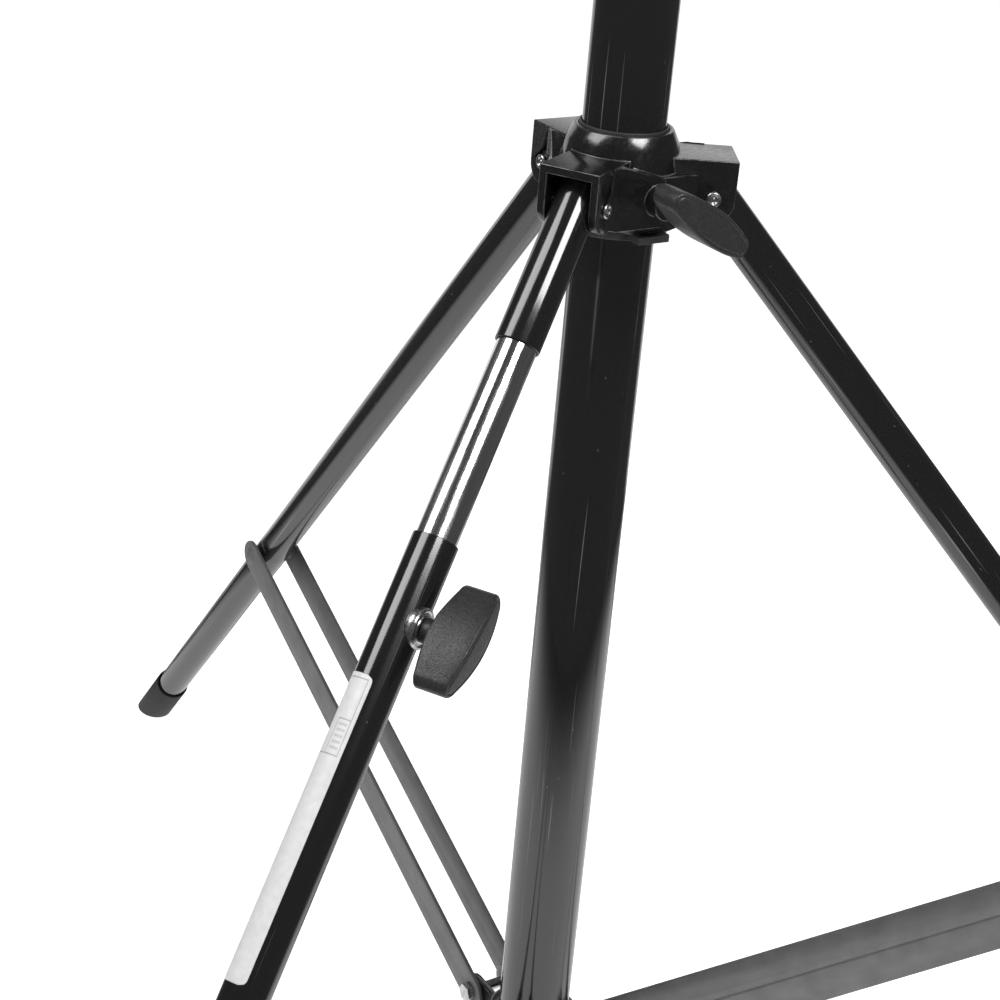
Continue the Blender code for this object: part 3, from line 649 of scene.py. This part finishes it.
def wing_outline():
    """Lens with round ends seen along the screw, as points and outward directions."""
    centre = WING_HALF - WING_END_R
    rise = WING_MID - WING_END_R
    line = []
    for i in range(END_STEPS + 1):
        angle = math.radians(-90 + 180 * i / END_STEPS)
        line.append((centre + WING_END_R * math.cos(angle), WING_END_R * math.sin(angle)))
    for i in range(1, FLANK_STEPS):
        f = 1 - 2 * i / FLANK_STEPS
        line.append((centre * f, WING_END_R + rise * (1 - f * f)))
    line += [(-x, -y) for x, y in line]
    total = len(line)
    outward = []
    for i in range(total):
        a, b = Vector(line[i - 1]), Vector(line[(i + 1) % total])
        run = (b - a).normalized()
        outward.append(Vector((run.y, -run.x)))
    return [Vector(p) for p in line], outward


def face_height(x):
    return WING_DEPTH + CROWN * (1 - (x / WING_HALF) ** 2)


def back_height(x):
    """The bar's back swells down towards the hub."""
    reach = max(0.0, abs(x) - HUB_R)
    f = min(1.0, reach / (WING_HALF - HUB_R))
    return -BACK_SWELL * (1 - f)


def knob_mesh(name):
    """One moulded T-bar: rounded edges, a thin raised rim, a groove and a slightly sunk panel."""
    points, outward = wing_outline()
    bm = bmesh.new()
    rings = []

    def ring(inset, height):
        made = []
        for p, n in zip(points, outward):
            q = p - n * inset
            made.append(bm.verts.new((q.x, q.y, height(p.x, q.x))))
        rings.append(made)

    # millimetres in from the outline and up from the back, round its edge
    back = [(1.6, 0.0), (0.9, 0.12), (0.42, 0.42), (0.12, 0.9), (0.0, 1.6)]
    # millimetres in and down from the front face: edge, raised rim, groove and panel
    front = [(0.0, 1.4), (0.1, 0.85), (0.38, 0.4), (0.8, 0.12), (1.3, 0.0), (1.75, 0.02), (1.95, 0.16),
             (2.1, 0.36), (2.35, 0.44), (2.65, 0.36), (2.85, 0.12), (3.1, 0.0), (3.5, -0.05)]
    for inset, rise in back:
        ring(inset * MM, lambda px, qx, r=rise: back_height(px) + r * MM)
    low, high = back[-1][1] * MM, front[0][1] * MM
    for share in (0.25, 0.5, 0.75):
        ring(0.0, lambda px, qx, f=share: (back_height(px) + low) * (1 - f) + (face_height(px) - high) * f)
    for inset, drop in front:
        ring(inset * MM, lambda px, qx, d=drop: face_height(qx) - d * MM)
    for share in (0.7, 0.4, 0.12):
        made = []
        for p, n in zip(points, outward):
            q = p - n * PANEL_INSET
            made.append(bm.verts.new((q.x, q.y * share, face_height(q.x) + 0.1 * MM)))
        rings.append(made)
    total = len(points)
    for lower, upper in zip(rings, rings[1:]):
        for i in range(total):
            j = (i + 1) % total
            bm.faces.new((lower[i], lower[j], upper[j], upper[i]))
    tip = END_STEPS // 2                 # outline point at the bar's tip
    for cap in (rings[-1], rings[0]):
        order = cap[tip:] + cap[:tip]
        # bridge the two long sides of the ring across
        for i in range(total // 2 - 1):
            a, b = order[i], order[i + 1]
            c, d = order[total - 2 - i], order[total - 1 - i]
            quad = list(dict.fromkeys((a, b, c, d)))
            if len(quad) > 2:
                bm.faces.new(quad)
    bmesh.ops.recalc_face_normals(bm, faces=bm.faces)
    mesh = bpy.data.meshes.new(name)
    bm.to_mesh(mesh)
    bm.free()
    finish_mesh(mesh, 50)
    return mesh


def t_knob(name, matrix, hub_back):
    """The bar, and a turned hub that reaches back to hub_back and flares into the bar."""
    stand_in(name + "_fine", knob_mesh(name + "_fine"), matrix, name)
    flare = HUB_R + HUB_FLARE
    profile = [(flare, 0.002), (flare, -0.0018), (HUB_R, -0.0035), (HUB_R, hub_back), (HUB_BORE, hub_back),
               (HUB_BORE, hub_back + 0.0005)]
    hub_mesh = lathe(name + "_hub", eased(profile, 0.0007), 64)
    piece(name + "_hub", hub_mesh, matrix, BODY[name], SLOTS[name])


def knob_frame(azimuth, z, distance, roll):
    """Z out along the screw, X along the bar, which hangs down when roll is 0."""
    radial = Vector((math.cos(azimuth), math.sin(azimuth), 0))
    tangent = Vector((-math.sin(azimuth), math.cos(azimuth), 0))
    bar = tangent * math.sin(roll) - UP * math.cos(roll)
    return frame_matrix(radial * distance + UP * z, radial, bar)


KNOB_AZ = math.radians(-60)
SPIDER_KNOB_ROLL, LOCK_KNOB_ROLL = math.radians(56), math.radians(90)
SPIDER_KNOB_D = 0.073                    # back of its bar from the column's axis
SPIDER_KNOB_UP = 0.002                   # above the hinge pins
HUB_BACK = -0.012                        # end of the hub, behind the bar's back
COLLAR_WALL = 0.0055                     # lock collar's wall
CLAMP_BOSS = 0.010                       # lock collar's screw boss
CLAMP_PLAY = 0.002                       # between screw boss and hub
KNOB_S = 0.2613                          # levelling knob's screw along the leg
KNOB_LEAN = math.radians(15)
KNOB_OUT = 0.0249                        # back of its bar from the leg's axis


def knobs():
    place = knob_frame(KNOB_AZ, PIN_Z + SPIDER_KNOB_UP, SPIDER_KNOB_D, SPIDER_KNOB_ROLL)
    t_knob("spider_knob", place, HUB_BACK)
    leg = leg_frame("a")
    down, across, out = -leg.col[2].to_3d(), leg.col[0].to_3d(), leg.col[1].to_3d()
    bar = down * math.cos(KNOB_LEAN) + across * math.sin(KNOB_LEAN)
    start = leg @ Vector((0, KNOB_OUT, -KNOB_S))
    t_knob("leg_a_knob", frame_matrix(start, out, bar), BOSS_END + GAP - KNOB_OUT)
    for index, tube_r in enumerate((COLUMN_R, *RISER_RADII[:2]), start=1):
        z = JOINTS["lock_knob_%d_turn" % index]["pos_m"][2]
        distance = tube_r + GAP + COLLAR_WALL + CLAMP_BOSS + CLAMP_PLAY - HUB_BACK
        t_knob("lock_knob_%d" % index, knob_frame(KNOB_AZ, z, distance, LOCK_KNOB_ROLL), HUB_BACK)


knobs()


# ---------------------------------------------------------------- welded boss and hinge pins
LUMP_SCALE, LUMP_DEPTH = 260, 0.00012    # of the weld's unevenness


def welded_boss():
    """Boss on the levelling leg's side: a turned nose inside a rounded, slightly uneven weld ring."""
    clamp = leg_frame("a") @ Matrix.Translation((0, 0, -KNOB_S)) @ ALONG_Y
    steps, bm = 128, bmesh.new()
    top = BOSS_END
    rows = [(0.0056, 0.0105), (0.0056, top - 0.0006), (0.0062, top), (0.0079, top), (0.0085, top - 0.0004),
            (0.0088, top - 0.0011), (0.0092, top - 0.0012), (0.0097, top - 0.0007), (0.0103, top - 0.0004),
            (0.0110, top - 0.0005), (0.0117, top - 0.0010), (0.0122, top - 0.0018), (0.0125, top - 0.0030),
            (0.0125, top - 0.0044), (0.0122, top - 0.0058), (0.0116, top - 0.0070), (0.0106, top - 0.0082),
            (0.0092, top - 0.0092)]
    rings = []
    for radius, height in rows:
        ring = []
        for i in range(steps):
            angle = 2 * math.pi * i / steps
            along, across = math.cos(angle), math.sin(angle)
            lump = wave.noise(Vector((radius * along, radius * across, height)) * LUMP_SCALE)
            sink = min(lump * LUMP_DEPTH, 0.0)
            ring.append(bm.verts.new(((radius + sink) * across, (radius + sink) * along, height + sink)))
        rings.append(ring)
    for a, b in zip(rings, rings[1:]):
        for i in range(steps):
            j = (i + 1) % steps
            bm.faces.new((a[i], a[j], b[j], b[i]))
    for ring in (rings[0], rings[-1]):
        bm.faces.new(ring)
    bmesh.ops.recalc_face_normals(bm, faces=bm.faces)
    mesh = bpy.data.meshes.new("leg_a_boss_fine")
    bm.to_mesh(mesh)
    bm.free()
    finish_mesh(mesh, 50)
    stand_in("leg_a_boss_fine", mesh, clamp, "leg_a_boss")


welded_boss()

CHANNEL_W = 0.019                        # half width of a leg's channel, outside
PIN_R, PIN_HEAD_R = 0.0032, 0.0047
PIN_HEAD = 0.0016                        # thickness of the pin's head


def hinge_pins():
    """Riveted pins: domed rim round a dimple with a small raised centre."""
    face = CHANNEL_W + GAP
    rim = face + PIN_HEAD
    half = [(0.0, face + 0.0011), (0.0007, face + 0.0010), (0.0012, face + 0.0004),
            (0.0019, face + 0.0004), (0.0026, face + 0.0012), (0.0032, rim), (0.0040, rim - 0.0001),
            (PIN_HEAD_R - 0.0002, rim - 0.0006), (PIN_HEAD_R, face + 0.0005), (PIN_HEAD_R, face),
            (PIN_R, face), (PIN_R, 0.001)]
    line = eased(half, 0.0003, 3)
    profile = line + [Vector((p.x, -p.y)) for p in reversed(line)]
    for key in "abc":
        name = "hinge_pin_" + key
        place = leg_frame(key)
        pin = Matrix.Translation(place.translation) @ place.to_3x3().to_4x4() @ ALONG_Y
        stand_in(name + "_fine", lathe(name + "_fine", profile, 48), pin, name)


hinge_pins()


# ---------------------------------------------------------------- label
LABEL_S = (0.296, 0.470)                 # ends along the leg, from the hinge pin
LABEL_THICK = 0.0001
LABEL_FROM = math.radians(-112)          # round the tube from its outer face
LABEL_TO = math.radians(18)


def label_material():
    """White vinyl with thin ruled fields and a few plain grey rows; no lettering."""
    mat = principled("label_vinyl", (0.8, 0.8, 0.8), 0.3, Specular_IOR_Level=0.5)
    links = mat.node_tree.links
    where = node(mat, "UVMap")
    split = node(mat, "SeparateXYZ")
    links.new(where.outputs[0], split.inputs[0])

    def maths(kind, a, b):
        made = mat.node_tree.nodes.new("ShaderNodeMath")
        made.operation = kind
        for socket, value in zip(made.inputs, (a, b)):
            if isinstance(value, (int, float)):
                socket.default_value = value
            else:
                links.new(value, socket)
        return made.outputs[0]

    u, v = split.outputs["X"], split.outputs["Y"]

    def inside(low_u, high_u, low_v, high_v):
        a = maths("MULTIPLY", maths("GREATER_THAN", u, low_u), maths("LESS_THAN", u, high_u))
        b = maths("MULTIPLY", maths("GREATER_THAN", v, low_v), maths("LESS_THAN", v, high_v))
        return maths("MULTIPLY", a, b)

    def ruled(low_u, high_u, low_v, high_v, line=0.014):
        hole = inside(low_u + line, high_u - line, low_v + line / 3, high_v - line / 3)
        return maths("SUBTRACT", inside(low_u, high_u, low_v, high_v), hole)

    rules = maths("MAXIMUM", ruled(0.1, 0.93, 0.014, 0.27), ruled(0.64, 0.93, 0.15, 0.27))
    rows = maths("MULTIPLY", inside(0.70, 0.88, 0.165, 0.255),
                 maths("GREATER_THAN", maths("FRACT", maths("MULTIPLY", v, 52.0), 0.0), 0.55))
    ink = maths("ADD", maths("MULTIPLY", rules, 0.34), maths("MULTIPLY", rows, 0.2))
    worn = maths("ADD", ink, spread(mat, noise(mat, 260, 4), 0.0, 0.08))
    feed(mat, tint(mat, worn, ((0.0, (0.93, 0.93, 0.93)), (0.5, (0.42, 0.42, 0.43)), (1.0, (0.1, 0.1, 0.1)))),
         "Base Color")
    return mat


def label():
    """A thin sticker with round corners, wrapped on the levelling leg's lower tube."""
    bm = bmesh.new()
    uv = bm.loops.layers.uv.new("print")
    across, along = 40, 120
    length = LABEL_S[1] - LABEL_S[0]
    width = LEG_R * (LABEL_TO - LABEL_FROM)
    corner = 0.004
    radius = LEG_R + LABEL_THICK * 1.2
    grid = []
    for j in range(along + 1):
        s = length * j / along
        end = min(s, length - s)
        inset = corner - math.sqrt(corner ** 2 - (corner - end) ** 2) if end < corner else 0.0
        row = []
        for i in range(across + 1):
            t = inset + (width - 2 * inset) * i / across
            angle = LABEL_FROM + t / LEG_R
            row.append((bm.verts.new((radius * math.cos(angle), radius * math.sin(angle), -LABEL_S[0] - s)),
                        (t / width, s / length)))
        grid.append(row)
    for a, b in zip(grid, grid[1:]):
        for i in range(across):
            corners = (a[i], b[i], b[i + 1], a[i + 1])
            face = bm.faces.new([c[0] for c in corners])
            for loop, c in zip(face.loops, corners):
                loop[uv].uv = c[1]
    bmesh.ops.recalc_face_normals(bm, faces=bm.faces)
    mesh = bpy.data.meshes.new("leg_label")
    bm.to_mesh(mesh)
    bm.free()
    finish_mesh(mesh)
    obj = piece("leg_label", mesh, leg_frame("a"), "leg_a_lower", "grey_nylon", mat=label_material())
    thick = obj.modifiers.new("thickness", "SOLIDIFY")
    thick.thickness = LABEL_THICK
    thick.offset = -1


label()


# ---------------------------------------------------------------- carried-over CAD nodes
# width of the rounded edges of each node that isn't replaced
SOFT_EDGES = {
    "spider": 0.0006, "lower_collar": 0.0007, "head_casting": 0.0006,
    "lock_collar_1": 0.0006, "lock_collar_2": 0.0006, "lock_collar_3": 0.0006,
    "lower_bolt_a": 0.0005, "lower_bolt_b": 0.0005, "lower_bolt_c": 0.0005,
    "spider_bush": 0.0005,
}
for key in "abc":
    for side in ("left", "right"):
        SOFT_EDGES["brace_%s_%s_bar" % (key, side)] = 0.0005
    SOFT_EDGES["leg_%s_foot" % key] = 0.0012

# painted highlight for the castings' bevelled edges, lighter than their paint
PAINTED_EDGE_HIGHLIGHT = painted_edge_highlight()
WELD_REACH = 0.00001                     # joins the faces that the export split along edges
for name, obj in NODES.items():
    mesh = obj.data
    mesh.materials.clear()
    mesh.materials.append(MATERIALS[SLOTS[name]])
    finish_mesh(mesh)
    if name in SOFT_EDGES:
        weld = obj.modifiers.new("weld", "WELD")
        weld.merge_threshold = WELD_REACH
        flat = obj.modifiers.new("flat", "DECIMATE")
        flat.decimate_type = "DISSOLVE"
        flat.angle_limit = math.radians(1.0)
        flat.delimit = {"NORMAL"}
        edges = obj.modifiers.new("edges", "BEVEL")
        edges.width = SOFT_EDGES[name]
        edges.segments = 3
        edges.limit_method = "ANGLE"
        edges.angle_limit = math.radians(35)
        edges.use_clamp_overlap = False
        edges.harden_normals = True
        # the castings' bevels take the painted edge highlight as their second material
        if SLOTS[name] == "satin_black_casting":
            mesh.materials.append(PAINTED_EDGE_HIGHLIGHT)
            edges.material = 1
